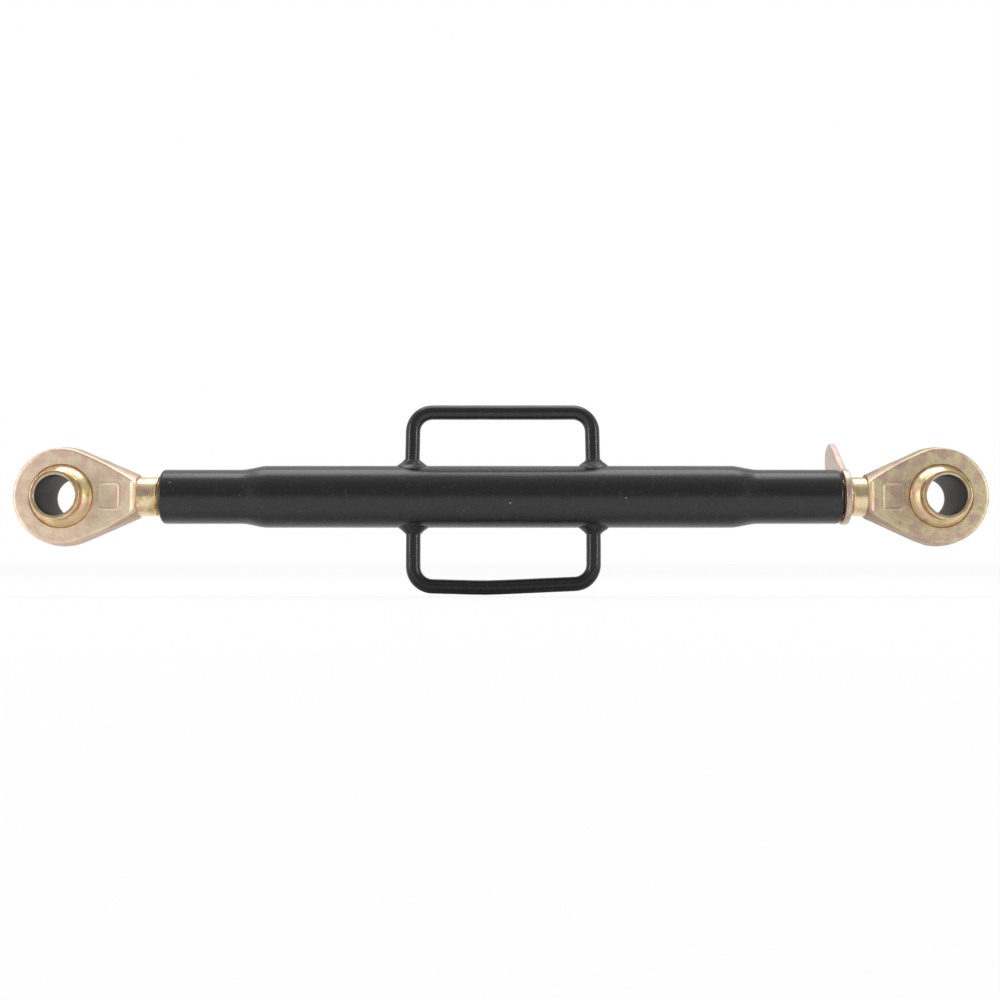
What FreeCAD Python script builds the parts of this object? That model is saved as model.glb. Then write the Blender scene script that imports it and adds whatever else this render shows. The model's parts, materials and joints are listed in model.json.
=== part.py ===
import FreeCAD, Part
import math
import os

# Category 2 tractor top link (a turnbuckle), screwed right in. Millimetres.
# X runs along the link, Z is up, and Y runs along the pin bores.
# The origin is the centre of the left ball.

# --- driving dimensions -------------------------------------------------------------

# screw: M27 x 3, left hand at the left end, right hand at the right end
THREAD_OD = 27.0
THREAD_CLEARANCE = 0.05     # radial
SCREW_TRAVEL = 110.0        # each end
LEAST_ENGAGEMENT = 50.0     # thread still in the barrel at full length
SCREW_TIP_CHAMFER = 2.0
THREAD_START_CHAMFER = 0.9
LEFT_THREAD_SHOWING = 2.8
RIGHT_THREAD_SHOWING = 2.3  # beyond the lock nut

# barrel: cold-drawn tube with both ends swaged down to the tapping size
BARREL_LENGTH = 435.0
TUBE_WALL = 5.0
SCREW_SPACE = 1.5           # radial, between the screw and the tube's bore
SWAGE_WALL = 4.0            # over the thread's major diameter
LEFT_SWAGE_LENGTH = 50.2
RIGHT_SWAGE_LENGTH = 52.7
SWAGE_RUN = 17.4            # length of the S-shaped shoulder from swage to tube
BARREL_EDGE_ROUND = 2.4
MOUTH_CHAMFER = 1.2

# balls
BALL_OD = 46.0
BALL_CLEARANCE = 0.10       # radial, ball in its seat
SEAT_MOUTH_CHAMFER = 0.3
PIN_BORE = 25.7
BALL_WIDTH = 51.0
COLLAR_WALL = 2.65
COLLAR_CHAMFER = 0.4
BORE_CHAMFER = 0.4

# forged rod ends
EYE_WALL = 8.75             # outside the ball
EYE_THICKNESS = 23.0
EYE_DRAFT = 5.0             # degrees, from the parting line
EYE_EDGE_ROUND = 2.0
LEFT_FORGED_LENGTH = 47.6   # eye centre to the small end of the taper
RIGHT_FORGED_LENGTH = 46.15
TAPER_SHOULDER = 1.45       # radial, from the neck up to the taper's small end
RUNOUT_ANGLE = 83.0         # degrees, how far the flat faces sweep up into the round
RUNOUT_RISE = 3.5           # least height of that sweep
NECK_SPARE = 1.0            # least it rises past the taper's small end
ROUNDING_SPREAD = 1.8       # degrees, how much wider than the taper its rounding cone is
ROOT_OVERLAP = 2.0          # how far the turned neck starts inside the forging
THREAD_ROLLING = 0.95       # radial, how much thinner the neck is than the rolled thread
NECK_FILLET = 1.2
LEFT_NECK_LENGTH = 12.1
RIGHT_NECK_LENGTH = 9.05

# lock nut: a flat punched plate with one lug
NUT_WALL = 4.5
NUT_THICKNESS = 4.0
NUT_GAP = 1.0               # between the nut and the barrel's end
NUT_EDGE_ROUND = 0.7
NUT_THREAD_CHAMFER = 0.8
LUG_REACH = 42.0            # axis to the centre of the lug's round tip
LUG_TIP_RADIUS = 11.2
LUG_ROOT_WIDTH = 31.5
LUG_ROOT_FILLET = 5.0
LUG_ANGLE = 52.5            # degrees from up, towards +Y

# hand-bent round bar handles
BAR_OD = 9.5
BAR_BEND_RADIUS = 12.5
UPPER_HEIGHT = 54.4         # barrel axis to the grip's centreline
UPPER_SPAN = 114.9          # between the legs, at the grip
UPPER_LEG_SPREAD = 1.2      # how far each foot stands outside the grip's end
UPPER_SHIFT = 1.05          # handle's middle, from the barrel's middle
LOWER_HEIGHT = 57.2
LOWER_SPAN = 115.9
LOWER_SHIFT = 1.55
LOWER_BOW = 1.3             # how far the grip bows out past its left corner
LOWER_BOW_PLACE = -9.0
LOWER_BOW_RADIUS = 250.0
LOWER_RISE = 1.8            # how much closer the right corner is than the left

# fillet welds around the handles' feet
WELD_LEG = 5.0
WELD_RISE = 4.6
WELD_HOLLOW = 0.4           # how far the bead's face dips between its toes
WELD_GAP = 0.05             # root gap to the tube and the bar

# --- worked out from them -----------------------------------------------------------

SCREW_R = THREAD_OD / 2
TAPPED_R = SCREW_R + THREAD_CLEARANCE
TUBE_BORE_R = SCREW_R + SCREW_SPACE
TUBE_R = TUBE_BORE_R + TUBE_WALL
SWAGE_R = SCREW_R + SWAGE_WALL
NECK_R = SCREW_R - THREAD_ROLLING
TAPER_END_R = NECK_R + TAPER_SHOULDER
BALL_R = BALL_OD / 2
EYE_R = BALL_R + EYE_WALL
FACE_Y = EYE_THICKNESS / 2
NUT_R = SCREW_R + NUT_WALL
BAR_R = BAR_OD / 2
BARREL_START = LEFT_FORGED_LENGTH + LEFT_NECK_LENGTH + LEFT_THREAD_SHOWING
BARREL_END = BARREL_START + BARREL_LENGTH
BARREL_MIDDLE = (BARREL_START + BARREL_END) / 2
NUT_START = BARREL_END + NUT_GAP
NUT_END = NUT_START + NUT_THICKNESS
RIGHT_EYE_X = NUT_END + RIGHT_THREAD_SHOWING + RIGHT_NECK_LENGTH + RIGHT_FORGED_LENGTH
SCREW_IN_BARREL = SCREW_TRAVEL + LEAST_ENGAGEMENT

TINY = 0.01                 # for telling edges apart
X_AXIS = FreeCAD.Vector(1, 0, 0)
Y_AXIS = FreeCAD.Vector(0, 1, 0)
Z_AXIS = FreeCAD.Vector(0, 0, 1)
ORIGIN = FreeCAD.Vector(0, 0, 0)


def point(x, z, y=0.0):
    return FreeCAD.Vector(x, y, z)


def line(start, end):
    return Part.makeLine(start, end)


def arc(start, through, end):
    return Part.Arc(start, through, end).toShape()


def turned(edges, axis):
    """A solid turned from a closed outline drawn in the XZ plane."""
    face = Part.Face(Part.Wire(Part.__sortEdges__(edges)))
    return face.revolve(ORIGIN, axis, 360)


def s_curve(start, end):
    """Two equal arcs that leave start and reach end parallel to X."""
    run, rise = end.x - start.x, end.z - start.z
    radius = (run**2 + rise**2) / (4 * abs(rise))
    side = math.copysign(1, rise)
    half_turn = math.asin(abs(run) / 2 / radius) / 2
    along = math.copysign(radius * math.sin(half_turn), run)
    across = side * radius * (1 - math.cos(half_turn))
    middle = (start + end) / 2
    return [
        arc(start, point(start.x + along, start.z + across), middle),
        arc(middle, point(end.x - along, end.z - across), end),
    ]


def rounded_corner(corner, towards_x, towards_z, radius):
    """A quarter arc that rounds a corner between a run along X and a run along Z."""
    inset = radius * (1 - math.sqrt(0.5))
    on_x = point(corner.x + towards_x * radius, corner.z)
    on_z = point(corner.x, corner.z + towards_z * radius)
    through = point(corner.x + towards_x * inset, corner.z + towards_z * inset)
    return on_x, on_z, arc(on_x, through, on_z)


# --- barrel -------------------------------------------------------------------------

def barrel_tube():
    """The tube, its swaged ends and its two tapped bores, turned about X."""
    left_swage, right_swage = BARREL_START + LEFT_SWAGE_LENGTH, BARREL_END - RIGHT_SWAGE_LENGTH
    left_tube, right_tube = left_swage + SWAGE_RUN, right_swage - SWAGE_RUN

    left_top, left_face, left_round = rounded_corner(
        point(BARREL_START, SWAGE_R), 1, -1, BARREL_EDGE_ROUND
    )
    right_top, right_face, right_round = rounded_corner(
        point(BARREL_END, SWAGE_R), -1, -1, BARREL_EDGE_ROUND
    )
    outside = [
        left_round,
        line(left_top, point(left_swage, SWAGE_R)),
        *s_curve(point(left_swage, SWAGE_R), point(left_tube, TUBE_R)),
        line(point(left_tube, TUBE_R), point(right_tube, TUBE_R)),
        *s_curve(point(right_tube, TUBE_R), point(right_swage, SWAGE_R)),
        line(point(right_swage, SWAGE_R), right_top),
        right_round,
    ]
    left_mouth = point(BARREL_START, TAPPED_R + MOUTH_CHAMFER)
    right_mouth = point(BARREL_END, TAPPED_R + MOUTH_CHAMFER)
    left_thread = point(BARREL_START + MOUTH_CHAMFER, TAPPED_R)
    right_thread = point(BARREL_END - MOUTH_CHAMFER, TAPPED_R)
    inside = [
        line(left_face, left_mouth),
        line(left_mouth, left_thread),
        line(left_thread, point(left_swage, TAPPED_R)),
        *s_curve(point(left_swage, TAPPED_R), point(left_tube, TUBE_BORE_R)),
        line(point(left_tube, TUBE_BORE_R), point(right_tube, TUBE_BORE_R)),
        *s_curve(point(right_tube, TUBE_BORE_R), point(right_swage, TAPPED_R)),
        line(point(right_swage, TAPPED_R), right_thread),
        line(right_thread, right_mouth),
        line(right_mouth, right_face),
    ]
    return turned(outside + inside, X_AXIS)


# --- handles ------------------------------------------------------------------------

def bent_path(points, radii):
    """Straight runs through the points, with a tangent arc at each inner point."""
    edges, start = [], points[0]
    for before, corner, after, radius in zip(points, points[1:], points[2:], radii):
        back = (before - corner).normalize()
        ahead = (after - corner).normalize()
        half = back.getAngle(ahead) / 2
        reach = radius / math.tan(half)
        middle = (back + ahead).normalize()
        through = corner + middle * (radius / math.sin(half) - radius)
        edges.append(line(start, corner + back * reach))
        edges.append(arc(corner + back * reach, through, corner + ahead * reach))
        start = corner + ahead * reach
    edges.append(line(start, points[-1]))
    return Part.Wire(edges)


def upper_path():
    """The upper handle's centreline, its legs leaning in a little towards the grip."""
    left = BARREL_MIDDLE + UPPER_SHIFT - UPPER_SPAN / 2
    right = BARREL_MIDDLE + UPPER_SHIFT + UPPER_SPAN / 2
    return [
        point(left - UPPER_LEG_SPREAD, 0),
        point(left, UPPER_HEIGHT),
        point(right, UPPER_HEIGHT),
        point(right + UPPER_LEG_SPREAD, 0),
    ]


def lower_path():
    """The lower handle's centreline, its grip bowed and slightly out of level."""
    left = BARREL_MIDDLE + LOWER_SHIFT - LOWER_SPAN / 2
    right = BARREL_MIDDLE + LOWER_SHIFT + LOWER_SPAN / 2
    return [
        point(left, 0),
        point(left, -LOWER_HEIGHT),
        point(BARREL_MIDDLE + LOWER_BOW_PLACE, -LOWER_HEIGHT - LOWER_BOW),
        point(right, -LOWER_HEIGHT + LOWER_RISE),
        point(right, 0),
    ]


def handle(path, radii):
    """A round bar bent to the path, its feet coped to sit on the tube."""
    wire = bent_path(path, radii)
    start = path[0]
    section = Part.Wire(Part.makeCircle(BAR_R, start, path[1] - start))
    bar = wire.makePipeShell([section], True, True)
    saddle_r = TUBE_R + WELD_GAP
    saddle = Part.makeCylinder(saddle_r, BARREL_LENGTH, point(BARREL_START, 0), X_AXIS)
    return largest(bar.cut(saddle))


def largest(shape):
    """The largest solid of a shape, which drops the stubs inside the tube."""
    return max(shape.Solids, key=lambda solid: solid.Volume)


def foot_weld(foot, corner):
    """A fillet weld all round a handle's foot, slightly hollow between its two toes."""
    up = (corner - foot).normalize()
    toe_r = BAR_R + WELD_LEG
    buried = TUBE_R - WELD_LEG
    toe = point(toe_r, TUBE_R - WELD_LEG / 4)
    top = point(BAR_R, TUBE_R + WELD_RISE)
    face = (top - toe).normalize()
    dip = (toe + top) / 2 - point(face.z, -face.x) * WELD_HOLLOW
    outline = [
        line(point(0, buried), point(toe_r, buried)),
        line(point(toe_r, buried), toe),
        arc(toe, dip, top),
        line(top, point(0, top.z)),
        line(point(0, top.z), point(0, buried)),
    ]
    bead = turned(outline, Z_AXIS)
    bead = bead.cut(Part.makeCylinder(BAR_R + WELD_GAP, 2 * TUBE_R, ORIGIN, Z_AXIS))
    bead.Placement = FreeCAD.Placement(point(foot.x, 0), FreeCAD.Rotation(Z_AXIS, up))
    tube = Part.makeCylinder(TUBE_R + WELD_GAP, BARREL_LENGTH, point(BARREL_START, 0), X_AXIS)
    return largest(bead.cut(tube))


# --- rod ends -----------------------------------------------------------------------

def taper_angle(forged_length):
    """Half-angle of the outline that touches the eye and ends at the taper's end size."""
    reach = math.hypot(forged_length, TAPER_END_R)
    return math.asin(EYE_R / reach) - math.atan2(TAPER_END_R, forged_length)


def taper_outline(forged_length, y):
    """The taper's outline at a height y over the parting line, drawn in by the draft."""
    angle = taper_angle(forged_length)
    inset = y * math.tan(math.radians(EYE_DRAFT))
    eye_r = EYE_R - inset
    touch = point(eye_r * math.sin(angle), eye_r * math.cos(angle), y)
    end = point(forged_length, TAPER_END_R - inset / math.cos(angle), y)
    mirrored = [point(corner.x, -corner.z, y) for corner in (end, touch)]
    return Part.makePolygon([touch, end, *mirrored, touch])


def forged_height():
    """How far the forging stands out from the parting line before its faces are cut."""
    return max(TAPER_END_R + NECK_SPARE, FACE_Y + RUNOUT_RISE)


def forged_half(forged_length):
    """One half of the forging, from the parting line up, before its face is cut."""
    height = forged_height()
    face_r = EYE_R - height * math.tan(math.radians(EYE_DRAFT))
    eye = Part.makeCone(EYE_R, face_r, height, ORIGIN, Y_AXIS)
    outlines = [taper_outline(forged_length, 0.0), taper_outline(forged_length, height)]
    taper = Part.makeLoft(outlines, True, True)
    return eye.fuse(taper).removeSplitter()


def face_cutter(forged_length):
    """What is cut away beyond one flat face, up to where the face sweeps into the round."""
    far = 4 * EYE_R
    sweep = math.radians(RUNOUT_ANGLE)
    radius = (forged_height() - FACE_Y) / (1 - math.cos(sweep))
    start = forged_length - radius * math.sin(sweep)

    def on_sweep(angle):
        across = FACE_Y + radius * (1 - math.cos(angle))
        return FreeCAD.Vector(start + radius * math.sin(angle), across, 0)

    corner = FreeCAD.Vector(-far, FACE_Y, 0)
    top = on_sweep(sweep)
    above, behind = FreeCAD.Vector(top.x, far, 0), FreeCAD.Vector(-far, far, 0)
    edges = [
        line(corner, on_sweep(0)),
        arc(on_sweep(0), on_sweep(sweep / 2), top),
        line(top, above),
        line(above, behind),
        line(behind, corner),
    ]
    side = Part.Face(Part.Wire(edges))
    side.translate(FreeCAD.Vector(0, 0, -far))
    return side.extrude(FreeCAD.Vector(0, 0, 2 * far))


def is_rim(edge):
    """True for the edges round a flat face, but not its straight end at the neck."""
    box = edge.BoundBox
    clear_of_middle = min(abs(box.YMin), abs(box.YMax)) > FACE_Y - TINY
    return clear_of_middle and box.XLength > TINY


def forging(forged_length):
    """The forged eye and taper: drafted, flat-faced, round-edged and round at the neck."""
    half = forged_half(forged_length)
    cutter = face_cutter(forged_length)
    blank = half.fuse(half.mirror(ORIGIN, Y_AXIS)).removeSplitter()
    blank = blank.cut([cutter, cutter.mirror(ORIGIN, Y_AXIS)]).removeSplitter()
    blank = blank.makeFillet(EYE_EDGE_ROUND, [edge for edge in blank.Edges if is_rim(edge)])
    length = forged_length + 2 * EYE_R
    rounding_angle = taper_angle(forged_length) + math.radians(ROUNDING_SPREAD)
    open_r = TAPER_END_R + length * math.tan(rounding_angle)
    rounding = Part.makeCone(open_r, TAPER_END_R, length, point(-2 * EYE_R, 0), X_AXIS)
    return blank.common(rounding)


def screw(forged_length, neck_length, thread_length):
    """The turned neck and the screw, as one bar on the X axis."""
    neck_end = forged_length + neck_length
    tip = neck_end + thread_length
    inside = forged_length - ROOT_OVERLAP
    fillet_top = point(forged_length, NECK_R + NECK_FILLET)
    fillet_end = point(forged_length + NECK_FILLET, NECK_R)
    inset = NECK_FILLET * (1 - math.sqrt(0.5))
    through = point(forged_length + inset, NECK_R + inset)
    corners = [
        fillet_end,
        point(neck_end, NECK_R),
        point(neck_end + THREAD_START_CHAMFER, SCREW_R),
        point(tip - SCREW_TIP_CHAMFER, SCREW_R),
        point(tip, SCREW_R - SCREW_TIP_CHAMFER),
        point(tip, 0),
        point(inside, 0),
        point(inside, NECK_R),
        point(forged_length, NECK_R),
        fillet_top,
    ]
    edges = [line(a, b) for a, b in zip(corners, corners[1:])]
    edges.append(arc(fillet_top, through, fillet_end))
    return turned(edges, X_AXIS)


def ball_seat():
    """The spherical seat and its two chamfered mouths, as one cutter."""
    seat_r = BALL_R + BALL_CLEARANCE
    mouth_r = math.sqrt(seat_r**2 - FACE_Y**2)
    seat = Part.makeSphere(seat_r)
    chamfer = Part.makeCone(
        mouth_r,
        mouth_r + 2 * SEAT_MOUTH_CHAMFER,
        2 * SEAT_MOUTH_CHAMFER,
        Y_AXIS * (FACE_Y - SEAT_MOUTH_CHAMFER),
        Y_AXIS,
    )
    return seat.fuse([chamfer, chamfer.mirror(ORIGIN, Y_AXIS)])


def rod_end(forged_length, neck_length, thread_length):
    """One whole rod end, its eye at the origin and its screw along +X."""
    body = forging(forged_length).fuse(screw(forged_length, neck_length, thread_length))
    return body.removeSplitter().cut(ball_seat())


def left_rod_end():
    return rod_end(LEFT_FORGED_LENGTH, LEFT_NECK_LENGTH, LEFT_THREAD_SHOWING + SCREW_IN_BARREL)


def right_rod_end():
    thread_length = RIGHT_THREAD_SHOWING + NUT_THICKNESS + NUT_GAP + SCREW_IN_BARREL
    body = rod_end(RIGHT_FORGED_LENGTH, RIGHT_NECK_LENGTH, thread_length)
    body.rotate(ORIGIN, Z_AXIS, 180)
    body.translate(X_AXIS * RIGHT_EYE_X)
    return body


# --- balls --------------------------------------------------------------------------

def ball(eye_x):
    """The ball with a collar each side and the pin bore through it, turned about Y."""
    bore_r, half = PIN_BORE / 2, BALL_WIDTH / 2
    collar_r = bore_r + COLLAR_WALL
    shoulder = math.sqrt(BALL_R**2 - collar_r**2)

    def at(radius, y):
        return FreeCAD.Vector(radius, y, 0)

    side = [
        line(at(collar_r, shoulder), at(collar_r, half - COLLAR_CHAMFER)),
        line(at(collar_r, half - COLLAR_CHAMFER), at(collar_r - COLLAR_CHAMFER, half)),
        line(at(collar_r - COLLAR_CHAMFER, half), at(bore_r + BORE_CHAMFER, half)),
        line(at(bore_r + BORE_CHAMFER, half), at(bore_r, half - BORE_CHAMFER)),
    ]
    other_side = [edge.mirror(ORIGIN, Y_AXIS) for edge in side]
    edges = side + other_side
    edges.append(arc(at(collar_r, shoulder), at(BALL_R, 0), at(collar_r, -shoulder)))
    edges.append(line(at(bore_r, half - BORE_CHAMFER), at(bore_r, BORE_CHAMFER - half)))
    solid = turned(edges, Y_AXIS)
    solid.translate(X_AXIS * eye_x)
    return solid


# --- lock nut -----------------------------------------------------------------------

def lug_blade():
    """The lug's flat blank, from the screw's axis to its round tip, pointing along Z."""
    root_r = LUG_ROOT_WIDTH / 2
    lean = math.asin((root_r - LUG_TIP_RADIUS) / LUG_REACH)

    def at(radius, centre_z, side):
        return FreeCAD.Vector(0, side * radius * math.cos(lean), centre_z + radius * math.sin(lean))

    tip = FreeCAD.Vector(0, 0, LUG_REACH + LUG_TIP_RADIUS)
    edges = [
        line(at(root_r, 0, 1), at(LUG_TIP_RADIUS, LUG_REACH, 1)),
        arc(at(LUG_TIP_RADIUS, LUG_REACH, 1), tip, at(LUG_TIP_RADIUS, LUG_REACH, -1)),
        line(at(LUG_TIP_RADIUS, LUG_REACH, -1), at(root_r, 0, -1)),
        line(at(root_r, 0, -1), at(root_r, 0, 1)),
    ]
    return Part.Face(Part.Wire(edges)).extrude(X_AXIS * NUT_THICKNESS)


def is_lug_corner(edge):
    """True for the two inner corners between the lug's sides and the round plate."""
    middle = edge.CenterOfMass
    along_x = abs(edge.BoundBox.XLength - NUT_THICKNESS) < TINY
    on_rim = abs(math.hypot(middle.y, middle.z) - NUT_R) < TINY
    return along_x and on_rim and middle.z > TINY


def lock_nut():
    """A round plate on the right screw, with a tapered lug to turn it by."""
    plate = Part.makeCylinder(NUT_R, NUT_THICKNESS, ORIGIN, X_AXIS)
    plate = plate.fuse(lug_blade()).removeSplitter()
    plate = plate.makeFillet(LUG_ROOT_FILLET, [e for e in plate.Edges if is_lug_corner(e)])
    rim = [edge for edge in plate.Edges if edge.BoundBox.XLength < TINY]
    plate = plate.makeFillet(NUT_EDGE_ROUND, rim)
    mouth_r = TAPPED_R + NUT_THREAD_CHAMFER
    bore = Part.makeCylinder(TAPPED_R, NUT_THICKNESS, ORIGIN, X_AXIS)
    near = Part.makeCone(mouth_r, TAPPED_R, NUT_THREAD_CHAMFER, ORIGIN, X_AXIS)
    back = X_AXIS * NUT_THICKNESS
    far = Part.makeCone(mouth_r, TAPPED_R, NUT_THREAD_CHAMFER, back, X_AXIS * -1)
    plate = plate.cut([bore, near, far])
    plate.rotate(ORIGIN, X_AXIS, -LUG_ANGLE)
    plate.translate(X_AXIS * NUT_START)
    return plate


# --- the whole link -----------------------------------------------------------------

def all_parts():
    upper, lower = upper_path(), lower_path()
    return {
        "barrel_tube": barrel_tube(),
        "handle_upper": handle(upper, [BAR_BEND_RADIUS, BAR_BEND_RADIUS]),
        "handle_lower": handle(lower, [BAR_BEND_RADIUS, LOWER_BOW_RADIUS, BAR_BEND_RADIUS]),
        "weld_upper_left": foot_weld(upper[0], upper[1]),
        "weld_upper_right": foot_weld(upper[-1], upper[-2]),
        "weld_lower_left": foot_weld(lower[0], lower[1]),
        "weld_lower_right": foot_weld(lower[-1], lower[-2]),
        "left_rod_end": left_rod_end(),
        "right_rod_end": right_rod_end(),
        "left_ball": ball(0.0),
        "right_ball": ball(RIGHT_EYE_X),
        "lock_nut": lock_nut(),
    }


os.makedirs("parts", exist_ok=True)
for name, shape in all_parts().items():
    solids = len(shape.Solids)
    print(name, solids, "solid", round(shape.Volume / 1000, 2), "cm3", "valid", shape.isValid())
    shape.exportStep(os.path.join("parts", name + ".step"))
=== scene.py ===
import json
import math

import bmesh
import bpy
from mathutils import Matrix, Vector, noise


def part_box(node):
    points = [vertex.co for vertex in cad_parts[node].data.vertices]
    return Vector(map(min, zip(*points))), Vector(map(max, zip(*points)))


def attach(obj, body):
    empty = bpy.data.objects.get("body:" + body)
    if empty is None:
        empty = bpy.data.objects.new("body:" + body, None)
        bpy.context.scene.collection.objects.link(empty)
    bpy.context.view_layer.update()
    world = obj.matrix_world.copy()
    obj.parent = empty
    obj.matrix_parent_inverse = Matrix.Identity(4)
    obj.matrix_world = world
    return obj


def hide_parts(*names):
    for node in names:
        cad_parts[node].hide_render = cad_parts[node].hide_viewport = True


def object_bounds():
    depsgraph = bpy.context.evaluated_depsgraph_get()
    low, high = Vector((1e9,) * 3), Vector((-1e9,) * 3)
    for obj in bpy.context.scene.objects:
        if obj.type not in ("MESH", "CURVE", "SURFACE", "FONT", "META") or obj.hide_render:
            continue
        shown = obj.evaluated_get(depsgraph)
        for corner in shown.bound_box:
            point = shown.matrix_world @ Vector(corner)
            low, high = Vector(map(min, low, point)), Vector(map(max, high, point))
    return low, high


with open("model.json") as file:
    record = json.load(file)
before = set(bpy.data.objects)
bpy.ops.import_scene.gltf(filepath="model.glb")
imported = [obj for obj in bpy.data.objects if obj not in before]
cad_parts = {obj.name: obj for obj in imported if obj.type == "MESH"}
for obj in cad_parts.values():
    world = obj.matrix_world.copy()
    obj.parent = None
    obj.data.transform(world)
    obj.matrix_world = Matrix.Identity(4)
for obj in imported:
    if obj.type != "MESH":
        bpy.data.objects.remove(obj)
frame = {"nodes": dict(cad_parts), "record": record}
cad_low, cad_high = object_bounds()

MM = 0.001


# --- the balls -----------------------------------------------------------------------------
# Each ball is turned from hardened bar, with a collar each side and the pin bore right
# through it, then plated in yellow zinc. The lathe's fine rings still show in its shine.

COLLAR_WALL = 2.65 * MM
BALL_EDGE_ROUND = 0.4 * MM
COLLAR_FILLET = 0.5 * MM
BALL_STEPS = 160

PALE_GOLD = (0.84, 0.68, 0.43, 1)
OLIVE_GOLD = (0.56, 0.44, 0.22, 1)
ROSE_GOLD = (0.78, 0.5, 0.36, 1)
# The last colour is painted shade for the inside of the pin bore.
BORE_PAINTED_SHADE = (0.035, 0.018, 0.013, 1)


class Shade:
    """A value in a material's node tree. Arithmetic on it adds Math nodes."""

    def __init__(self, tree, socket=None):
        self.tree = tree
        self.socket = socket

    def node(self, kind, inputs, out=0, stops=(), **settings):
        """Adds a node, sets it up, and then links or sets its inputs."""
        made = self.tree.nodes.new(kind)
        for key, value in settings.items():
            setattr(made, key, value)
        if stops:
            points = made.color_ramp.elements
            while len(points) < len(stops):
                points.new(0.5)
            for point, (place, colour) in zip(points, stops):
                point.position, point.color = place, colour
        for key, value in inputs.items():
            if isinstance(value, Shade):
                self.tree.links.new(value.socket, made.inputs[key])
            else:
                made.inputs[key].default_value = value
        return Shade(self.tree, made.outputs[out])

    def math(self, operation, *values):
        return self.node("ShaderNodeMath", dict(enumerate(values)), operation=operation)

    def __add__(self, other):
        return self.math("ADD", self, other)

    def __sub__(self, other):
        return self.math("SUBTRACT", self, other)

    def __rsub__(self, other):
        return self.math("SUBTRACT", other, self)

    def __mul__(self, other):
        return self.math("MULTIPLY", self, other)

    def __pow__(self, other):
        return self.math("POWER", self, other)

    __radd__, __rmul__ = __add__, __mul__

    def noise(self, scale, detail=3.0, roughness=0.5):
        inputs = {"Vector": self, "Scale": scale, "Detail": detail, "Roughness": roughness}
        return self.node("ShaderNodeTexNoise", inputs)

    def cells(self, scale):
        return self.node("ShaderNodeTexVoronoi", {"Vector": self, "Scale": scale})

    def ramp(self, *stops):
        return self.node("ShaderNodeValToRGB", {0: self}, stops=stops)

    def fade(self, low, high, to_low=0.0, to_high=1.0):
        """Runs smoothly from to_low to to_high as the value goes from low to high."""
        inputs = {"Value": self, 1: low, 2: high, 3: to_low, 4: to_high}
        return self.node("ShaderNodeMapRange", inputs, interpolation_type="SMOOTHSTEP")

    def blend(self, first, second):
        """Mixes two colours by this value."""
        inputs = {0: self, 6: first, 7: second}
        return self.node("ShaderNodeMix", inputs, out=2, data_type="RGBA")

    def to(self, shader, socket):
        self.tree.links.new(self.socket, shader.inputs[socket])


def new_material(name, centre_x=0.0):
    """A material, its shader, and the place on the piece, measured from centre_x."""
    material = bpy.data.materials.new(name)
    material.use_nodes = True
    tree = material.node_tree
    place = Shade(tree).node("ShaderNodeTexCoord", {}, out="Object")
    place = place.node("ShaderNodeMapping", {"Vector": place, "Location": (-centre_x, 0, 0)})
    return material, tree.nodes["Principled BSDF"], place


def bumpy(height, shader, distance, strength=1.0):
    inputs = {"Height": height, "Distance": distance, "Strength": strength}
    height.node("ShaderNodeBump", inputs).to(shader, "Normal")


def split(place):
    """The three coordinates of a place, as separate values."""
    return [place.node("ShaderNodeSeparateXYZ", {0: place}, out=axis) for axis in range(3)]


def join(x, y, z):
    return x.node("ShaderNodeCombineXYZ", {0: x, 1: y, 2: z})


def turned_zinc(name, centre_x, bore_r, half_width):
    """Yellow zinc on a turned ball: fine rings round Y, and painted shade in the bore, darker and
    duller deeper in.
    """
    material, shader, place = new_material(name, centre_x)
    x, y, z = split(place)
    out = (x * x + z * z) ** 0.5
    flat = out * 0.0
    rings = join(out, y, flat).noise(9000, 2.0)
    wide_rings = join(out, y, flat).noise(1100, 1.0)
    patches = place.noise(75, 3.0)
    hue = patches.ramp((0.36, ROSE_GOLD), (0.5, PALE_GOLD), (0.66, OLIVE_GOLD))
    # Painted shade in the bore: deep inside, the colour turns dark brown, less metallic and
    # rougher, standing in for the shade there.
    in_bore = out.fade(bore_r + 0.15 * MM, bore_r + 0.4 * MM, 1.0, 0.0)
    depth = y.math("ABSOLUTE", y).fade(half_width - 2.5 * MM, half_width - 0.4 * MM, 1.0, 0.0)
    bore_painted_shade = in_bore * depth
    bore_painted_shade.blend(hue, BORE_PAINTED_SHADE).to(shader, "Base Color")
    (1.0 - bore_painted_shade * 0.75).to(shader, "Metallic")
    (wide_rings * 0.14 + patches * 0.1 + bore_painted_shade * 0.35 + 0.1).to(shader, "Roughness")
    bumpy(rings * 0.6 + wide_rings * 0.4, shader, 0.012 * MM)
    return material


def arc_points(centre, radius, start, end, count):
    """Points (u, v) along an arc, between two angles in degrees."""
    turns = [math.radians(start + (end - start) * i / count) for i in range(count + 1)]
    return [(centre[0] + radius * math.cos(a), centre[1] + radius * math.sin(a)) for a in turns]


def turned(points, closed, axis, centre, steps):
    """A shell turned round an axis from an outline of points in the row frame."""
    bm = bmesh.new()
    ring = [bm.verts.new(point) for point in points]
    pairs = list(zip(ring, ring[1:])) + ([(ring[-1], ring[0])] if closed else [])
    edges = [bm.edges.new(pair) for pair in pairs]
    turn = {"cent": centre, "axis": axis, "angle": math.tau, "steps": steps}
    bmesh.ops.spin(bm, geom=ring + edges, use_merge=True, **turn)
    bmesh.ops.remove_doubles(bm, verts=bm.verts, dist=0.001 * MM)
    bmesh.ops.recalc_face_normals(bm, faces=bm.faces)
    return bm


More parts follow.
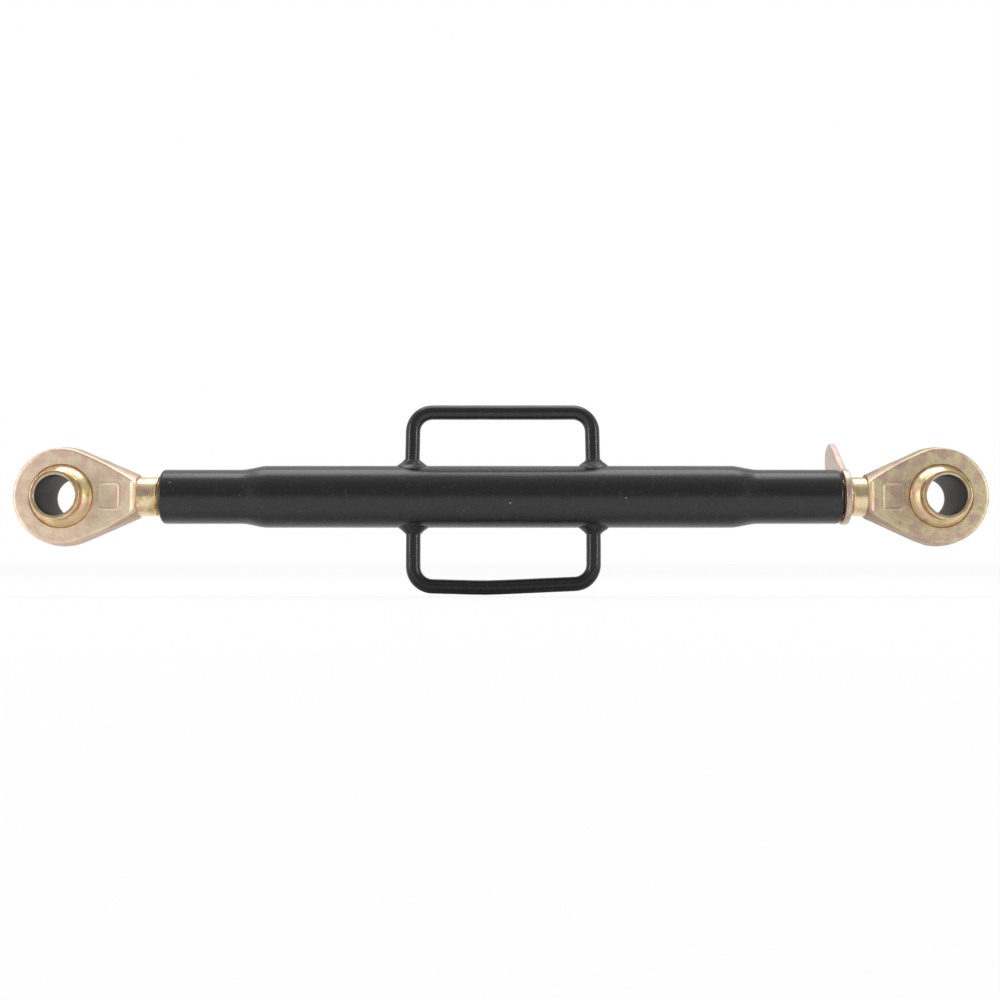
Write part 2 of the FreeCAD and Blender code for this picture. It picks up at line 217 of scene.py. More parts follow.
def add_piece(name, bm, body, material, sharp_angle=35):
    """Turns a finished bmesh into a piece that rides on a body."""
    mesh = bpy.data.meshes.new(name)
    bm.to_mesh(mesh)
    bm.free()
    mesh.shade_smooth()
    mesh.set_sharp_from_angle(angle=math.radians(sharp_angle))
    mesh.materials.append(material)
    piece = bpy.data.objects.new(name, mesh)
    bpy.context.scene.collection.objects.link(piece)
    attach(piece, body)
    return piece


def ball_outline(ball_r, bore_r, half):
    """The ball's closed outline as (radius, place along Y)."""
    collar_r = bore_r + COLLAR_WALL
    edge = BALL_EDGE_ROUND
    sphere_angle = math.degrees(math.acos((collar_r + COLLAR_FILLET) / ball_r))
    sphere_y = ball_r * math.sin(math.radians(sphere_angle))
    side = [
        *arc_points((0, 0), ball_r, 0, sphere_angle, 24),
        (collar_r, sphere_y + COLLAR_FILLET),
        *arc_points((collar_r - edge, half - edge), edge, 0, 90, 4),
        *arc_points((bore_r + edge, half - edge), edge, 90, 180, 4),
        (bore_r, half / 2),
    ]
    return side + [(r, -y) for r, y in side[:0:-1]]


def add_ball(end):
    node = end + "_ball"
    low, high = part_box(node)
    centre = (low + high) / 2
    mount = next(m for m in frame["record"]["mounts"] if m["name"] == end + "_pin_bore")
    bore_r = mount["dims"]["r_mm"] * MM
    outline = ball_outline((high.x - low.x) / 2, bore_r, high.y)
    points = [(centre.x + r, y, 0) for r, y in outline]
    bm = turned(points, True, (0, 1, 0), centre, BALL_STEPS)
    material = turned_zinc(end + "_ball_zinc", centre.x, bore_r, high.y)
    piece = add_piece(end + "_turned_ball", bm, node, material)
    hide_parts(node)


add_ball("left")
add_ball("right")


# --- the forged eyes -----------------------------------------------------------------------
# Each rod end is drop forged in steel, trimmed of its flash along the parting line, closed
# over its ball, and plated in yellow zinc over the forging's own rough skin.

FORGED_LENGTHS = {"left": 47.6 * MM, "right": 46.15 * MM}
FORGED_END_SPARE = 0.5 * MM
FORGED_GRAIN = 0.45 * MM          # the mesh's own grain
SEAT_SPARE = 0.9 * MM             # the seat is coined smooth this far out from the ball
SEAT_START = 0.3 * MM             # where the rough skin begins to grow, out from the ball
SKIN_WAVE = 0.1 * MM
SKIN_WAVE_GRAIN = 8 * MM
SKIN_RIPPLE = 0.05 * MM
SKIN_RIPPLE_GRAIN = 2.4 * MM
FLASH_WIDTH = 0.8 * MM
FLASH_HEIGHT = 0.28 * MM
FLASH_TEAR_GRAIN = 4 * MM
FRAME_PLACE = 30.5 * MM           # eye centre to the middle of the raised blank frame
FRAME_HALF = (6.6 * MM, 8.2 * MM)
FRAME_CORNER = 2.5 * MM
FRAME_LINE = 0.55 * MM
FRAME_HEIGHT = 0.3 * MM

PEACH = (0.83, 0.62, 0.47, 1)
PINK = (0.79, 0.55, 0.46, 1)
CREAM = (0.88, 0.74, 0.54, 1)
STRAW = (0.71, 0.6, 0.38, 1)
TAN = (0.6, 0.44, 0.33, 1)
MAUVE = (0.5, 0.37, 0.35, 1)
SAGE = (0.47, 0.42, 0.26, 1)
# The last colour is painted shade for the forgings' side walls.
WALL_PAINTED_SHADE = (0.2, 0.13, 0.1, 1)

FORGED_HUES = {
    "left": ((0.3, PINK), (0.45, PEACH), (0.58, CREAM), (0.72, STRAW)),
    "right": ((0.3, MAUVE), (0.44, TAN), (0.56, STRAW), (0.7, SAGE)),
}


def forged_zinc(name, centre_x, hues, face_y):
    """Yellow zinc on a forged skin: cloudy hues, small scale pits, and painted shade on the side
    walls.
    """
    material, shader, place = new_material(name, centre_x)
    clouds = place.noise(95, 4.0, 0.62)
    hue = clouds.ramp(*hues)
    y = split(place)[1]
    # Painted shade: away from the flat faces, the side walls are blended half way to dark brown.
    wall = y.math("ABSOLUTE", y).fade(face_y - 2.2 * MM, face_y - 0.6 * MM, 0.5, 0.0)
    grit = place.noise(1500, 3.0, 0.6)
    wall_shaded = wall.blend(hue, WALL_PAINTED_SHADE)
    speckled = grit.fade(0.56, 0.72, 0.0, 0.3).blend(wall_shaded, SAGE)
    speckled.to(shader, "Base Color")
    shader.inputs["Metallic"].default_value = 0.85
    (clouds * 0.16 + grit * 0.22 + 0.26).to(shader, "Roughness")
    lumps = place.noise(330, 3.0, 0.55)
    pits = place.cells(620).fade(0.0, 0.28)
    bumpy(lumps * 0.9 + grit * 0.35 + pits * 0.25, shader, 0.16 * MM, 0.9)
    return material


def evaluated(bm, name, modifier_kind, **settings):
    """Runs one modifier over a bmesh and returns the result as a new bmesh."""
    mesh = bpy.data.meshes.new(name)
    bm.to_mesh(mesh)
    bm.free()
    carrier = bpy.data.objects.new(name, mesh)
    bpy.context.scene.collection.objects.link(carrier)
    modifier = carrier.modifiers.new(name, modifier_kind)
    for key, value in settings.items():
        setattr(modifier, key, value)
    depsgraph = bpy.context.evaluated_depsgraph_get()
    done = bmesh.new()
    done.from_mesh(carrier.evaluated_get(depsgraph).to_mesh())
    bpy.data.objects.remove(carrier)
    bpy.data.meshes.remove(mesh)
    return done


def frame_ridge(along, up):
    """Height of the raised blank frame at a place on the flat face, seen from its middle."""
    dx = max(abs(along) - FRAME_HALF[0] + FRAME_CORNER, 0)
    dz = max(abs(up) - FRAME_HALF[1] + FRAME_CORNER, 0)
    inner = max(abs(along) - FRAME_HALF[0], abs(up) - FRAME_HALF[1])
    off = math.hypot(dx, dz) - FRAME_CORNER if dx and dz else inner
    return FRAME_HEIGHT * math.exp(-((off / FRAME_LINE) ** 2))


def add_forging(end):
    node = end + "_rod_end"
    ball_low, ball_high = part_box(end + "_ball")
    centre = (ball_low + ball_high) / 2
    ball_r = ball_high.z
    inward = 1 if end == "left" else -1
    cut_x = centre.x + inward * (FORGED_LENGTHS[end] + FORGED_END_SPARE)
    bm = bmesh.new()
    bm.from_mesh(frame["nodes"][node].data)
    bmesh.ops.remove_doubles(bm, verts=bm.verts, dist=0.0005 * MM)
    everything = bm.verts[:] + bm.edges[:] + bm.faces[:]
    cut = {"plane_co": (cut_x, 0, 0), "plane_no": (inward, 0, 0), "clear_outer": True}
    bmesh.ops.bisect_plane(bm, geom=everything, **cut)
    bmesh.ops.holes_fill(bm, edges=[e for e in bm.edges if e.is_boundary])
    face_y = max(v.co.y for v in bm.verts if (v.co - centre).length < ball_r + 3 * MM)
    bm = evaluated(bm, end + "_grain", "REMESH", mode="VOXEL", voxel_size=FORGED_GRAIN)
    bm.normal_update()
    moves = {}
    for vert in bm.verts:
        place = vert.co - centre
        off_seat = place.length - ball_r
        skin = min(1.0, max(0.0, (off_seat - SEAT_START) / SEAT_SPARE))
        wave = SKIN_WAVE * noise.noise(place / SKIN_WAVE_GRAIN)
        ripple = SKIN_RIPPLE * noise.noise(place / SKIN_RIPPLE_GRAIN)
        flash = math.exp(-((place.y / FLASH_WIDTH) ** 2)) * (1 - vert.normal.y**2) ** 4
        torn = 0.75 + 0.5 * noise.noise(place / FLASH_TEAR_GRAIN)
        height = wave + ripple + flash * torn * FLASH_HEIGHT
        if vert.normal.y < -0.9 and place.y < -face_y + 0.5 * MM:
            height += frame_ridge(inward * place.x - FRAME_PLACE, place.z)
        moves[vert] = vert.normal * height * skin
    for vert, move in moves.items():
        vert.co += move
    material = forged_zinc(end + "_forged_zinc", centre.x, FORGED_HUES[end], face_y)
    piece = add_piece(end + "_forged_eye", bm, end + "_rod", material, 180)
    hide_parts(node)


add_forging("left")
add_forging("right")


# --- the necks and screws ------------------------------------------------------------------
# The shank behind each eye is turned to the rolling size and its M27 x 3 screw is rolled on,
# left hand at the left end. The neck keeps the blank's size and its turning marks.

THREAD_PITCH = 3.0 * MM
THREAD_DEPTH = 1.84 * MM
SCREW_R = 13.5 * MM
NECK_R = 12.55 * MM
NECK_LENGTHS = {"left": 12.1 * MM, "right": 9.05 * MM}
NECK_START_SPARE = 1.5 * MM       # how far the neck runs on inside the forging
TIP_CHAMFER = 2.0 * MM
THREAD_STEPS = 44
CREST_SHARE = 0.14                # of the pitch, the crest's flat
ROOT_SHARE = 0.2


def thread_profile():
    """One pitch of the rolled thread as (share of the pitch, radius), root to root."""
    root_r = SCREW_R - THREAD_DEPTH
    crest_start, crest_end = 0.5 - CREST_SHARE / 2, 0.5 + CREST_SHARE / 2
    return [
        (0.0, root_r),
        (ROOT_SHARE / 2, root_r + 0.12 * MM),
        (crest_start - 0.03, SCREW_R - 0.1 * MM),
        (crest_start + 0.02, SCREW_R),
        (crest_end - 0.02, SCREW_R),
        (crest_end + 0.03, SCREW_R - 0.1 * MM),
        (1 - ROOT_SHARE / 2, root_r + 0.12 * MM),
        (1.0, root_r),
    ]


def rolled_thread(start_x, end_x, hand, run_in):
    """A helical thread between two planes, chamfered by a cone at both ends."""
    turns = math.ceil((end_x - start_x) / THREAD_PITCH) + 2
    bm = bmesh.new()
    first_x = start_x - THREAD_PITCH
    ring = [bm.verts.new((first_x + s * THREAD_PITCH, 0, r)) for s, r in thread_profile()]
    edges = [bm.edges.new(pair) for pair in zip(ring, ring[1:])]
    steps = turns * THREAD_STEPS
    turn = {"cent": (0, 0, 0), "axis": (hand, 0, 0), "angle": math.tau * turns, "steps": steps}
    bmesh.ops.spin(bm, geom=ring + edges, dvec=(THREAD_PITCH / THREAD_STEPS, 0, 0), **turn)
    bmesh.ops.remove_doubles(bm, verts=bm.verts, dist=0.01 * MM)
    for x, side in ((start_x, -1), (end_x, 1)):
        everything = bm.verts[:] + bm.edges[:] + bm.faces[:]
        cut = {"plane_co": (x, 0, 0), "plane_no": (side, 0, 0), "clear_outer": True}
        bmesh.ops.bisect_plane(bm, geom=everything, **cut)
    bmesh.ops.holes_fill(bm, edges=[e for e in bm.edges if e.is_boundary])
    for vert in bm.verts:
        to_start, to_end = vert.co.x - start_x, end_x - vert.co.x
        limit = min(NECK_R + to_start, SCREW_R - TIP_CHAMFER + to_end) if run_in > 0 else 0
        if run_in < 0:
            limit = min(NECK_R + to_end, SCREW_R - TIP_CHAMFER + to_start)
        radius = math.hypot(vert.co.y, vert.co.z)
        if radius > limit:
            vert.co.y *= limit / radius
            vert.co.z *= limit / radius
    bmesh.ops.recalc_face_normals(bm, faces=bm.faces)
    return bm


def rolled_zinc(name, centre_x):
    """Yellow zinc on the turned neck and the rolled screw, ringed round X."""
    material, shader, place = new_material(name, centre_x)
    x, y, z = split(place)
    out = (y * y + z * z) ** 0.5
    rings = join(x, out, out * 0.0).noise(2600, 2.0)
    bands = join(x, out, out * 0.0).noise(240, 2.0)
    clouds = place.noise(110, 3.0)
    mix = clouds * 0.8 + bands * 0.2
    mix.ramp((0.35, ROSE_GOLD), (0.5, PALE_GOLD), (0.64, OLIVE_GOLD)).to(shader, "Base Color")
    shader.inputs["Metallic"].default_value = 0.95
    (rings * 0.08 + clouds * 0.12 + 0.18).to(shader, "Roughness")
    bumpy(rings, shader, 0.006 * MM)
    return material


def add_screw(end):
    low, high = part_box(end + "_rod_end")
    ball_low, ball_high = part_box(end + "_ball")
    eye_x = (ball_low.x + ball_high.x) / 2
    inward = 1 if end == "left" else -1
    tip_x = high.x if end == "left" else low.x
    neck_x = eye_x + inward * (FORGED_LENGTHS[end] - NECK_START_SPARE)
    thread_x = eye_x + inward * (FORGED_LENGTHS[end] + NECK_LENGTHS[end])
    material = rolled_zinc(end + "_rolled_zinc", eye_x)
    points = [(neck_x, 0, 0), (neck_x, 0, NECK_R), (thread_x, 0, NECK_R), (thread_x, 0, 0)]
    neck = turned(points, False, (1, 0, 0), (0, 0, 0), 96)
    add_piece(end + "_neck", neck, end + "_rod", material)
    overlap_x = thread_x - inward * 0.3 * MM
    thread = rolled_thread(min(overlap_x, tip_x), max(overlap_x, tip_x), -inward, inward)
    add_piece(end + "_screw_thread", thread, end + "_rod", material)


add_screw("left")
add_screw("right")


# --- the barrel ----------------------------------------------------------------------------
# A cold-drawn tube, swaged down hot at both ends, tapped there, and sprayed in one thick
# coat of black. The swaging dies leave shallow dents on the shoulders and streaks along it.

BARREL_STEPS = 192
SWAGE_R = 17.5 * MM
SWAGE_LENGTHS = (50.2 * MM, 52.7 * MM)
SWAGE_RUN = 17.4 * MM
BARREL_EDGE_ROUND = 2.4 * MM
TAPPED_R = 13.55 * MM
MOUTH_CHAMFER = 1.2 * MM
SHOULDER_POINTS = 10
STRETCH_POINTS = 60
BARREL_WAVE = 0.05 * MM
BARREL_WAVE_GRAIN = 7 * MM
WAVE_STRETCH = 4                  # how much longer the waves are along the barrel
BARREL_INSET = 0.05 * MM          # keeps the waved skin inside the barrel's own size
DENT_DEPTH = 0.12 * MM
DENT_GRAIN = 5 * MM
DENT_PLACES = (58 * MM, 60 * MM)  # from each end of the barrel, on the shoulders
DENT_REACH = 9 * MM
OUTER_SKIN = 0.1 * MM             # how far below the swage the waves still reach

INK = (0.012, 0.012, 0.013, 1)
GREY_DUST = (0.12, 0.12, 0.125, 1)
STEEL_CHIP = (0.3, 0.29, 0.28, 1)


def black_paint(name):
    """Sprayed black over rough steel: orange peel, streaks, thin dust and a few nicks."""
    material, shader, place = new_material(name)
    x, y, z = split(place)
    streaks = join(x * 0.06, y, z).noise(420, 3.0)
    dust = place.noise(260, 5.0, 0.65).fade(0.55, 0.8, 0.0, 0.25)
    spots = place.cells(95).fade(0.035, 0.075, 1.0, 0.0)
    chosen = place.noise(38, 1.0).fade(0.58, 0.64)
    nick = spots * chosen
    shade = dust.blend(INK, GREY_DUST)
    nick.blend(shade, STEEL_CHIP).to(shader, "Base Color")
    (streaks * 0.12 + dust * 0.25 + nick * 0.2 + 0.2).to(shader, "Roughness")
    peel = place.noise(420, 2.0)
    fine = place.noise(1900, 2.0)
    bumpy(peel * 0.8 + fine * 0.2 + streaks * 0.4 - nick * 0.6, shader, 0.05 * MM, 0.8)
    return material


def shoulder(start, end):
    """Points of an S-shaped shoulder from one (x, radius) to another."""
    steps = [i / SHOULDER_POINTS for i in range(1, SHOULDER_POINTS)]
    run, rise = end[0] - start[0], end[1] - start[1]
    return [(start[0] + run * t, start[1] + rise * t * t * (3 - 2 * t)) for t in steps]


def barrel_outline(low, high):
    """The barrel's closed outline as (x, radius): outside from left to right, and back."""
    edge, tube_r = BARREL_EDGE_ROUND, high.z
    left_in, right_in = low.x + SWAGE_LENGTHS[0], high.x - SWAGE_LENGTHS[1]
    left_out, right_out = left_in + SWAGE_RUN, right_in - SWAGE_RUN
    steps = [i / STRETCH_POINTS for i in range(STRETCH_POINTS + 1)]
    return [
        (low.x, TAPPED_R + MOUTH_CHAMFER),
        *arc_points((low.x + edge, SWAGE_R - edge), edge, 180, 90, 8),
        (left_in, SWAGE_R),
        *shoulder((left_in, SWAGE_R), (left_out, tube_r)),
        *[(left_out + (right_out - left_out) * t, tube_r) for t in steps],
        *shoulder((right_out, tube_r), (right_in, SWAGE_R)),
        (right_in, SWAGE_R),
        *arc_points((high.x - edge, SWAGE_R - edge), edge, 90, 0, 8),
        (high.x, TAPPED_R + MOUTH_CHAMFER),
        (high.x - MOUTH_CHAMFER, TAPPED_R),
        (low.x + MOUTH_CHAMFER, TAPPED_R),
    ]


def add_barrel():
    low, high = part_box("barrel_tube")
    points = [(x, 0, r) for x, r in barrel_outline(low, high)]
    bm = turned(points, True, (1, 0, 0), (0, 0, 0), BARREL_STEPS)
    for vert in bm.verts:
        radius = math.hypot(vert.co.y, vert.co.z)
        if radius > SWAGE_R - OUTER_SKIN:
            along = Vector((vert.co.x / WAVE_STRETCH, vert.co.y, vert.co.z))
            wave = BARREL_WAVE * noise.noise(along / BARREL_WAVE_GRAIN)
            from_left = (vert.co.x - low.x - DENT_PLACES[0]) / DENT_REACH
            from_right = (high.x - DENT_PLACES[1] - vert.co.x) / DENT_REACH
            near_shoulder = math.exp(-(from_left**2)) + math.exp(-(from_right**2))
            dent = DENT_DEPTH * near_shoulder * noise.noise(vert.co / DENT_GRAIN)
            scale = 1 + (wave + dent - BARREL_INSET) / radius
            vert.co.y *= scale
            vert.co.z *= scale
    piece = add_piece("painted_barrel", bm, "barrel", paint)
    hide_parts("barrel_tube")


paint = black_paint("black_paint")
add_barrel()


# --- the handles ---------------------------------------------------------------------------
# Two round bars bent cold by hand round a former and set square to the barrel, the lower one
# slightly bowed and out of level. They're painted with the barrel once they're welded on.

BAR_R = 4.75 * MM
BEND_R = 12.5 * MM
BOW_R = 250.0 * MM
BAR_SIDES = 32
BAR_STEP = 2.5 * MM
FOOT_PLACE = 17.0 * MM            # barrel axis to the bars' ends, buried in the barrel's wall
UPPER_HEIGHT = 54.4 * MM          # barrel axis to the grip's centreline
UPPER_HALF_SPAN = 57.45 * MM
UPPER_SHIFT = 1.05 * MM           # handle's middle, from the barrel's middle
UPPER_LEG_SPREAD = 0.82 * MM      # how far each buried end stands outside the grip's end
LOWER_HEIGHT = 57.2 * MM
LOWER_HALF_SPAN = 57.95 * MM
LOWER_SHIFT = 1.55 * MM
LOWER_BOW = 1.3 * MM              # how far the grip bows out past its left corner
LOWER_BOW_PLACE = -9.0 * MM       # from the barrel's middle
LOWER_RISE = 1.8 * MM             # how much closer the right corner is than the left
BAR_DENT = 0.07 * MM
BAR_DENT_GRAIN = 11 * MM
BAR_RIPPLE = 0.03 * MM
BAR_RIPPLE_GRAIN = 3 * MM
BAR_INSET = 0.06 * MM             # keeps the dented skin inside the bar's own size


def bar_path(name):
    """Corners (x, z) of a handle's centreline and the radius of the bend at each."""
    barrel_low, barrel_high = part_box("barrel_tube")
    middle = (barrel_low.x + barrel_high.x) / 2
    if name == "handle_upper":
        left = middle + UPPER_SHIFT - UPPER_HALF_SPAN
        right = middle + UPPER_SHIFT + UPPER_HALF_SPAN
        corners = [
            (left - UPPER_LEG_SPREAD, FOOT_PLACE),
            (left, UPPER_HEIGHT),
            (right, UPPER_HEIGHT),
            (right + UPPER_LEG_SPREAD, FOOT_PLACE),
        ]
        return corners, [BEND_R, BEND_R]
    left = middle + LOWER_SHIFT - LOWER_HALF_SPAN
    right = middle + LOWER_SHIFT + LOWER_HALF_SPAN
    corners = [
        (left, -FOOT_PLACE),
        (left, -LOWER_HEIGHT),
        (middle + LOWER_BOW_PLACE, -LOWER_HEIGHT - LOWER_BOW),
        (right, -LOWER_HEIGHT + LOWER_RISE),
        (right, -FOOT_PLACE),
    ]
    return corners, [BEND_R, BOW_R, BEND_R]


def run_straight(bm, face, to_centre):
    """Extrudes the bar's end face straight on, in short steps, to a new centre."""
    move = to_centre - face.calc_center_median()
    steps = max(1, round(move.length / BAR_STEP))
    for _ in range(steps):
        made = bmesh.ops.extrude_discrete_faces(bm, faces=[face])["faces"][0]
        bmesh.ops.translate(bm, verts=made.verts, vec=move / steps)
        face = made
    return face


def run_bend(bm, face, centre, angle):
    """Turns the bar's end face round a bend's centre, in short steps."""
    steps = max(2, round(abs(angle) * BEND_R / BAR_STEP * 2))
    for _ in range(steps):
        made = bmesh.ops.extrude_discrete_faces(bm, faces=[face])["faces"][0]
        turn = Matrix.Rotation(angle / steps, 3, "Y")
        bmesh.ops.rotate(bm, verts=made.verts, cent=centre, matrix=turn)
        face = made
    return face


def add_handle(name):
    corners, radii = bar_path(name)
    points = [Vector((x, 0, z)) for x, z in corners]
    ahead = (points[1] - points[0]).normalized()
    start = Matrix.Translation(points[0]) @ ahead.to_track_quat("Z", "Y").to_matrix().to_4x4()
    bm = bmesh.new()
    circle = {"cap_ends": True, "segments": BAR_SIDES, "radius": BAR_R, "matrix": start}
    bmesh.ops.create_circle(bm, **circle)
    bm.faces.ensure_lookup_table()
    face = bm.faces[0]
    for before, corner, after, radius in zip(points, points[1:], points[2:], radii):
        back, ahead = (before - corner).normalized(), (after - corner).normalized()
        half = back.angle(ahead) / 2
        face = run_straight(bm, face, corner + back * radius / math.tan(half))
        centre = corner + (back + ahead).normalized() * radius / math.sin(half)
        side = 1 if (-back).cross(ahead).y > 0 else -1
        face = run_bend(bm, face, centre, side * (math.pi - 2 * half))
    run_straight(bm, face, points[-1])
    bmesh.ops.recalc_face_normals(bm, faces=bm.faces)
    for vert in bm.verts:
        dents = BAR_DENT * noise.noise(vert.co / BAR_DENT_GRAIN)
        ripples = BAR_RIPPLE * noise.noise(vert.co / BAR_RIPPLE_GRAIN)
        vert.co += vert.normal * (dents + ripples - BAR_INSET)
    piece = add_piece("painted_" + name, bm, "barrel", paint)
    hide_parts(name)


add_handle("handle_upper")
add_handle("handle_lower")


# --- the welds -----------------------------------------------------------------------------
# A hand-run bead goes all round each foot of the handles, in overlapping puddles that sit on
# the tube like a saddle. It is lumpy, with a little spatter, and the paint lies thick on it.

WELD_LEG = 4.9 * MM
WELD_RISE = 4.5 * MM
WELD_HOLLOW = 0.4 * MM
WELD_STEPS = 120
WELD_ROWS = 12
PUDDLES = 17
PUDDLE_HEIGHT = 0.15 * MM
PUDDLE_LAG = 0.35                 # radians, how far each puddle trails at mid height
LUMP = 0.3 * MM
LUMP_GRAIN = 4.2 * MM
SPECK = 0.12 * MM
SPECK_GRAIN = 1.4 * MM
WELD_SPACING = 31 * MM            # between the places where each weld reads the noise
TOE_DEPTH = 1.2 * MM              # the bead's skirt, sunk in the tube
TOP_BITE = 0.3 * MM               # how far the bead's top reaches into the bar
TOE_SPREAD = 0.8                  # how much of the lumps also pushes the toe outwards


def add_weld(node, side, seed):
    low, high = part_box(node)
    centre_x = (low.x + high.x) / 2
    tube_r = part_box("barrel_tube")[1].z
    bm = bmesh.new()
    toe, top = Vector((BAR_R + WELD_LEG, 0, 0)), Vector((BAR_R - TOP_BITE, 0, WELD_RISE))
    out = Vector((WELD_RISE, 0, WELD_LEG)).normalized()
    rows = [i / WELD_ROWS for i in range(WELD_ROWS + 1)]
    curve = [toe.lerp(top, t) - out * WELD_HOLLOW * math.sin(math.pi * t) for t in rows]
    curve = [toe - Vector((0, 0, TOE_DEPTH))] + curve
    ring = [bm.verts.new(point) for point in curve]
    edges = [bm.edges.new(pair) for pair in zip(ring, ring[1:])]
    turn = {"cent": (0, 0, 0), "axis": (0, 0, 1), "angle": math.tau, "steps": WELD_STEPS}
    bmesh.ops.spin(bm, geom=ring + edges, use_merge=True, **turn)
    bmesh.ops.remove_doubles(bm, verts=bm.verts, dist=0.001 * MM)
    bmesh.ops.holes_fill(bm, edges=[e for e in bm.edges if e.is_boundary])
    bmesh.ops.recalc_face_normals(bm, faces=bm.faces)
    bm.normal_update()
    moves = {}
    for vert in bm.verts:
        angle = math.atan2(vert.co.y, vert.co.x)
        radius = math.hypot(vert.co.x, vert.co.y)
        share = max(0.0, min(1.0, (vert.co.z + 0.2 * MM) / WELD_RISE))
        lag = angle + PUDDLE_LAG * math.sin(math.pi * share)
        puddle = abs(math.sin(lag * PUDDLES / 2)) ** 0.7 * PUDDLE_HEIGHT
        spot = vert.co + Vector((seed * WELD_SPACING, 0, 0))
        lump = LUMP * noise.noise(spot / LUMP_GRAIN) + SPECK * noise.noise(spot / SPECK_GRAIN)
        on_bead = math.sin(math.pi * min(1.0, share * 0.8 + 0.12))
        moves[vert] = vert.normal * (puddle + lump) * on_bead
        if radius > BAR_R + 0.5 * WELD_LEG:
            moves[vert] += Vector((vert.co.x, vert.co.y, 0)) / radius * lump * TOE_SPREAD
    for vert, move in moves.items():
        vert.co += move
        vert.co.z += math.sqrt(tube_r**2 - vert.co.y**2)
        vert.co.z *= side
        vert.co.x += centre_x
    if side < 0:
        bmesh.ops.reverse_faces(bm, faces=bm.faces)
    piece = add_piece("painted_" + node, bm, "barrel", paint, 60)
    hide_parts(node)


add_weld("weld_upper_left", 1, 1)
add_weld("weld_upper_right", 1, 2)
add_weld("weld_lower_left", -1, 3)
add_weld("weld_lower_right", -1, 4)


# --- the lock nut --------------------------------------------------------------------------
# A flat plate punched out of 4 mm strip with one tapered lug, tapped M27, tumbled to break
# its edges and plated. It leans its lug away and is turned up against the barrel by hand.

PLATE_GRAIN = 0.4 * MM            # the mesh's own grain
PLATE_WAVE = 0.04 * MM
PLATE_WAVE_GRAIN = 5 * MM
PLATE_ROSE = (0.56, 0.4, 0.36, 1)
PLATE_LILAC = (0.62, 0.54, 0.55, 1)
PLATE_TAN = (0.62, 0.48, 0.36, 1)


def punched_zinc(name, centre_x):
    """Yellow zinc on punched plate: flat rolled faces and a rougher sheared edge."""
    material, shader, place = new_material(name, centre_x)
    x, y, z = split(place)
    clouds = place.noise(130, 3.0, 0.55)
    clouds.ramp((0.38, PLATE_ROSE), (0.52, PLATE_TAN), (0.66, PLATE_LILAC)).to(shader, "Base Color")
    shear = join(x * 0.12, y, z).noise(1500, 2.0)
    grit = place.noise(1800, 2.0)
    shader.inputs["Metallic"].default_value = 0.85
    (clouds * 0.2 + grit * 0.15 + 0.2).to(shader, "Roughness")
    bumpy(shear * 0.6 + grit * 0.4, shader, 0.06 * MM, 0.8)
    return material


def add_lock_nut():
    low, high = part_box("lock_nut")
    bm = bmesh.new()
    bm.from_mesh(frame["nodes"]["lock_nut"].data)
    bmesh.ops.remove_doubles(bm, verts=bm.verts, dist=0.0005 * MM)
    bm = evaluated(bm, "plate_grain", "REMESH", mode="VOXEL", voxel_size=PLATE_GRAIN)
    bm.normal_update()
    for vert in bm.verts:
        vert.co += vert.normal * PLATE_WAVE * (noise.noise(vert.co / PLATE_WAVE_GRAIN) - 1)
    material = punched_zinc("punched_zinc", (low.x + high.x) / 2)
    piece = add_piece("punched_lock_nut", bm, "nut", material, 180)
    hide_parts("lock_nut")


add_lock_nut()


# --- the studio ----------------------------------------------------------------------------
# A pale floor just under the lower handle, nearly white to the camera, a broad soft lamp
# overhead, two narrow ones at the front corners, and a white surround, dimmer in front.

CAMERA_DISTANCE = 930 * MM
CAMERA_DROP = 2.5                 # degrees below the level of the link
VIEW_CENTRE = (279.36 * MM, 0.0, -2.06 * MM)
VIEW_WIDTH = 643.7 * MM
SENSOR = 36.0
NEAREST = 10 * MM
FLOOR_GAP = 1.0 * MM
FLOOR_SIZE = 30.0
FLOOR_WHITE = (0.9, 0.9, 0.9, 1)
FLOOR_GLOW = 0.88                 # how much of the floor is plain white to the camera
FRONT_LEVEL = 0.3                 # strength of the surround in front of the link
BACK_LEVEL = 0.9
LEVEL_FADE = (-0.9, 0.1)          # along Y, where one turns into the other
LAMP_TARGET = (0.28, 0.0, 0.0)
LAMPS = {                         # place, width, height and power
    "overhead": ((0.28, 0.25, 1.3), 1.4, 0.7, 9),
    "left_front": ((-0.8, -0.62, 0.0), 0.16, 0.9, 5),
    "right_front": ((1.36, -0.62, 0.0), 0.16, 0.9, 5),
}


def add_lamp(name, place, width, height, power):
    data = bpy.data.lights.new(name, "AREA")
    data.shape, data.size, data.size_y, data.energy = "RECTANGLE", width, height, power
    lamp = bpy.data.objects.new(name, data)
    lamp.location = place
    aim = Vector(LAMP_TARGET) - Vector(place)
    lamp.rotation_euler = aim.to_track_quat("-Z", "Y").to_euler()
    bpy.context.scene.collection.objects.link(lamp)


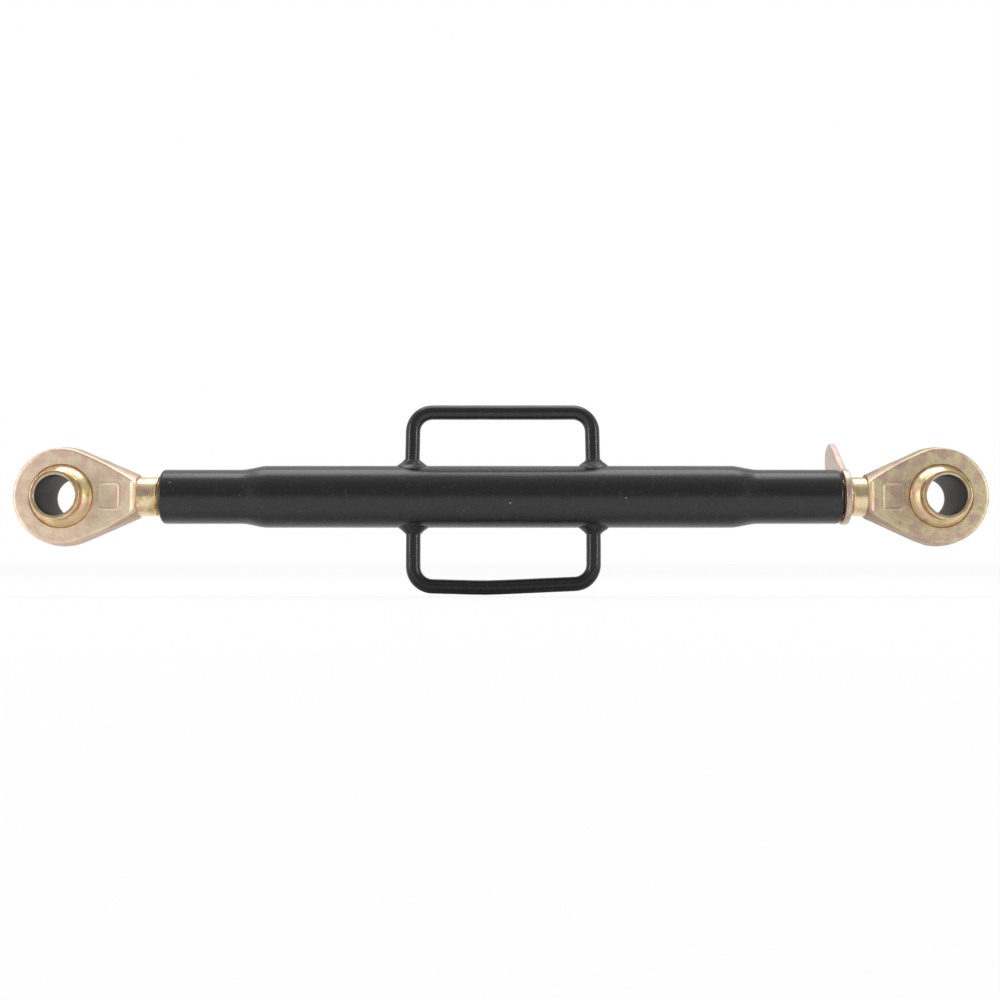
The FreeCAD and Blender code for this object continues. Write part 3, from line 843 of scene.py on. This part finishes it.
def add_floor():
    bm = bmesh.new()
    flat = Matrix.Translation((VIEW_CENTRE[0], 0, cad_low.z - FLOOR_GAP))
    bmesh.ops.create_grid(bm, x_segments=1, y_segments=1, size=FLOOR_SIZE, matrix=flat)
    mesh = bpy.data.meshes.new("floor")
    bm.to_mesh(mesh)
    bm.free()
    material = bpy.data.materials.new("floor_white")
    material.use_nodes = True
    tree = material.node_tree
    lit = tree.nodes["Principled BSDF"]
    lit.inputs["Base Color"].default_value = FLOOR_WHITE
    glow = tree.nodes.new("ShaderNodeEmission")
    mixed = tree.nodes.new("ShaderNodeMixShader")
    seen = Shade(tree).node("ShaderNodeLightPath", {}, out="Is Camera Ray")
    (seen * FLOOR_GLOW).to(mixed, "Fac")
    tree.links.new(lit.outputs["BSDF"], mixed.inputs[1])
    tree.links.new(glow.outputs["Emission"], mixed.inputs[2])
    tree.links.new(mixed.outputs["Shader"], tree.nodes["Material Output"].inputs["Surface"])
    mesh.materials.append(material)
    floor = bpy.data.objects.new("floor", mesh)
    bpy.context.scene.collection.objects.link(floor)


def set_world():
    """White to the camera and in reflections, dimmer towards the front of the link."""
    world = bpy.data.worlds.new("studio")
    bpy.context.scene.world = world
    world.use_nodes = True
    tree = world.node_tree
    sky = tree.nodes["Background"]
    sky.inputs["Color"].default_value = (1, 1, 1, 1)
    start = Shade(tree)
    direction = start.node("ShaderNodeTexCoord", {}, out="Generated")
    y = split(direction)[1]
    seen = start.node("ShaderNodeLightPath", {}, out="Is Camera Ray")
    front = y.fade(*LEVEL_FADE, FRONT_LEVEL, BACK_LEVEL)
    (seen + (1.0 - seen) * front).to(sky, "Strength")


def add_camera():
    data = bpy.data.cameras.new("camera")
    data.sensor_width = SENSOR
    data.clip_start = NEAREST
    data.lens = SENSOR * CAMERA_DISTANCE / VIEW_WIDTH
    camera = bpy.data.objects.new("camera", data)
    drop = math.radians(CAMERA_DROP)
    centre = Vector(VIEW_CENTRE)
    camera.location = centre + Vector((0, -math.cos(drop), -math.sin(drop))) * CAMERA_DISTANCE
    camera.rotation_euler = (centre - camera.location).to_track_quat("-Z", "Y").to_euler()
    bpy.context.scene.collection.objects.link(camera)
    bpy.context.scene.camera = camera


add_floor()
set_world()
for lamp_name, settings in LAMPS.items():
    add_lamp(lamp_name, *settings)
add_camera()
bpy.context.scene.view_settings.view_transform = "Standard"
